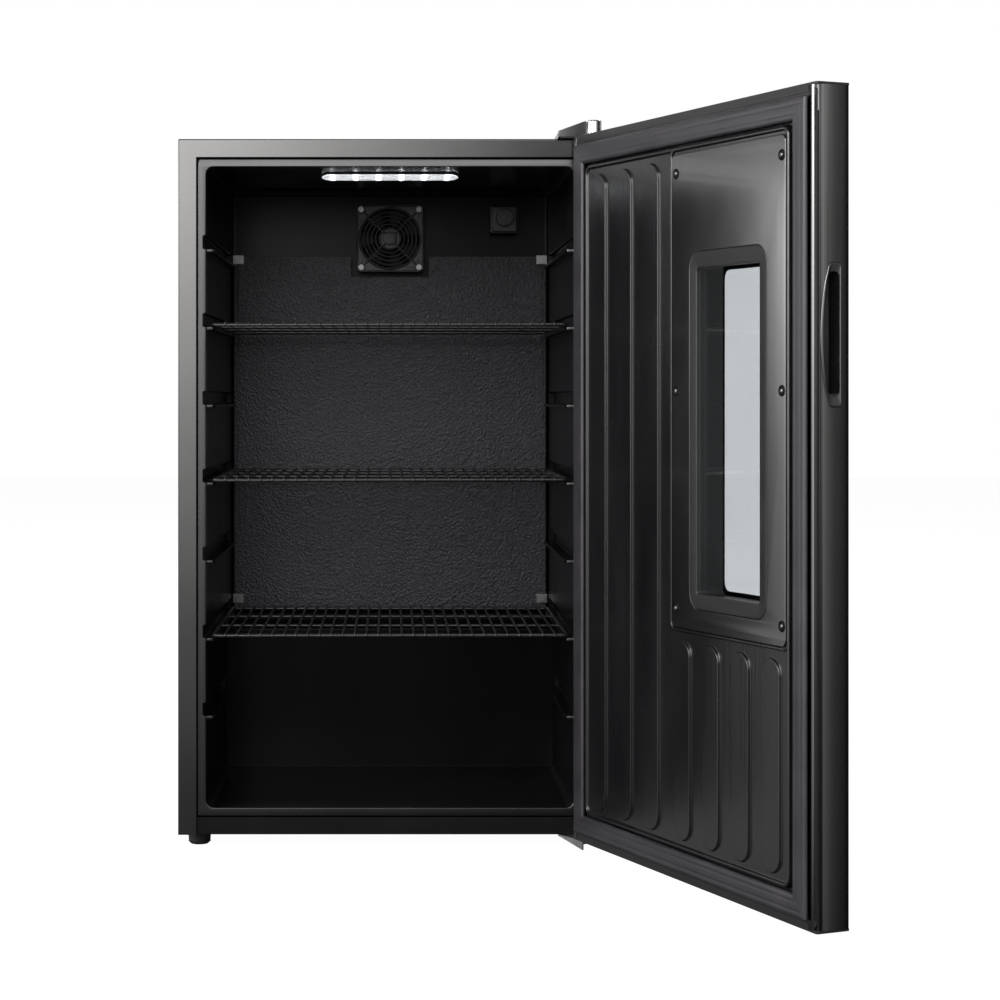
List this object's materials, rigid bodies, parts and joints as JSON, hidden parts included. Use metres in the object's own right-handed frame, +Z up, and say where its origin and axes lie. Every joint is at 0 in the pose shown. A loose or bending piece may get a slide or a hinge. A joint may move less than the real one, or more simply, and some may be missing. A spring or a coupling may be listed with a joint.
{
  "type": "compact beverage refrigerator",
  "caption": "Compact upright refrigerator with a foamed steel cabinet, sliding wire shelves, lamp, fan, dial and a hinged insulated door with a glazed window and a side finger pull.",
  "frame": {"origin": "on the floor under the middle of the cabinet body", "axes": "+Z up, the front and its opening face -Y, +X to the hinge side"},
  "size_m": [0.7192, 0.9576, 0.8884],
  "materials": {
    "black_stainless": "satin",
    "painted_steel": "satin",
    "zinc_steel": "satin",
    "polished_steel": "polished",
    "liner_plastic": "gloss",
    "black_plastic": "satin",
    "gloss_panel": "gloss",
    "foam": "matte",
    "evaporator_metal": "matte",
    "shelf_wire": "satin",
    "clear_glass": "gloss",
    "lens_plastic": "satin",
    "board_white": "satin",
    "gasket_vinyl": "satin",
    "magnet_strip": "matte",
    "foot_plastic": "satin",
    "compressor_paint": "satin",
    "pump_iron": "matte",
    "rubber_mount": "matte",
    "copper": "satin",
    "grey_plastic": "satin",
    "bush_plastic": "satin"
  },
  "bodies": {
    "cabinet": {"cabinet_shell": "black_stainless", "back_panel": "painted_steel", "back_panel_screws": "zinc_steel", "base_pan": "zinc_steel", "front_rail": "painted_steel", "inner_liner": "liner_plastic", "cabinet_insulation": "foam", "evaporator_plate": "evaporator_metal", "evaporator_clips": "black_plastic", "evaporator_screws": "zinc_steel", "fan_guard": "black_plastic", "fan_frame": "black_plastic", "fan_screws": "zinc_steel", "thermostat_housing": "black_plastic", "lamp_housing": "black_plastic", "lamp_board": "board_white", "lamp_lens": "lens_plastic", "top_hinge_plate": "zinc_steel", "top_hinge_pin": "polished_steel", "top_hinge_cover": "black_plastic", "top_hinge_screws": "zinc_steel", "bottom_hinge_plate": "zinc_steel", "bottom_hinge_screws": "zinc_steel", "rear_feet": "foot_plastic", "compressor_tray": "zinc_steel", "compressor_shell": "compressor_paint", "compressor_pump": "pump_iron", "compressor_grommets": "rubber_mount", "compressor_bolts": "zinc_steel", "relay_cover": "black_plastic", "drip_tray": "grey_plastic", "drain_tube": "grey_plastic", "discharge_tube": "copper", "suction_tube": "copper", "filter_drier": "copper", "cord_gland": "black_plastic", "compressor_feet": "compressor_paint"},
    "door": {"door_skin": "black_stainless", "door_top_cap": "black_plastic", "door_bottom_cap": "black_plastic", "door_insulation": "foam", "door_liner": "liner_plastic", "door_gasket": "gasket_vinyl", "window_panel": "gloss_panel", "window_bezel": "black_plastic", "window_screws": "zinc_steel", "window_inner_glass": "clear_glass", "window_spacer": "black_plastic", "window_outer_glass": "clear_glass", "hinge_bushes": "bush_plastic", "hole_plugs": "black_plastic", "gasket_magnet": "magnet_strip", "handle_pocket": "black_plastic"},
    "fan": {"fan_rotor": "black_plastic"},
    "thermostat_dial": {"thermostat_knob": "black_plastic"},
    "shelf_upper": {"shelf_top": "shelf_wire"},
    "shelf_centre": {"shelf_middle": "shelf_wire"},
    "shelf_lower": {"shelf_bottom": "shelf_wire"},
    "foot_left": {"left_foot": "foot_plastic"},
    "foot_right": {"right_foot": "foot_plastic"}
  },
  "joints": [
    {"name": "door_hinge", "type": "hinge", "parent": "cabinet", "child": "door", "pos_m": [0.2456, -0.2525, 0.44], "axis": [0, 0, 1], "range_deg": [-113, 20]},
    {"name": "shelf_upper_slide", "type": "slide", "parent": "cabinet", "child": "shelf_upper", "axis": [0, -1, 0], "range_m": [0, 0.33]},
    {"name": "shelf_centre_slide", "type": "slide", "parent": "cabinet", "child": "shelf_centre", "axis": [0, -1, 0], "range_m": [0, 0.33]},
    {"name": "shelf_lower_slide", "type": "slide", "parent": "cabinet", "child": "shelf_lower", "axis": [0, -1, 0], "range_m": [0, 0.33]},
    {"name": "fan_spin", "type": "hinge", "parent": "cabinet", "child": "fan", "pos_m": [0, 0.147, 0.7724], "axis": [0, -1, 0], "continuous": true},
    {"name": "thermostat_turn", "type": "hinge", "parent": "cabinet", "child": "thermostat_dial", "pos_m": [0.158, 0.125, 0.8], "axis": [0, -1, 0], "range_deg": [-135, 135]},
    {"name": "left_foot_screw", "type": "hinge", "parent": "cabinet", "child": "foot_left", "pos_m": [-0.236, -0.183, 0.01], "axis": [0, 0, 1], "continuous": true},
    {"name": "right_foot_screw", "type": "hinge", "parent": "cabinet", "child": "foot_right", "pos_m": [0.236, -0.183, 0.01], "axis": [0, 0, 1], "continuous": true}
  ]
}
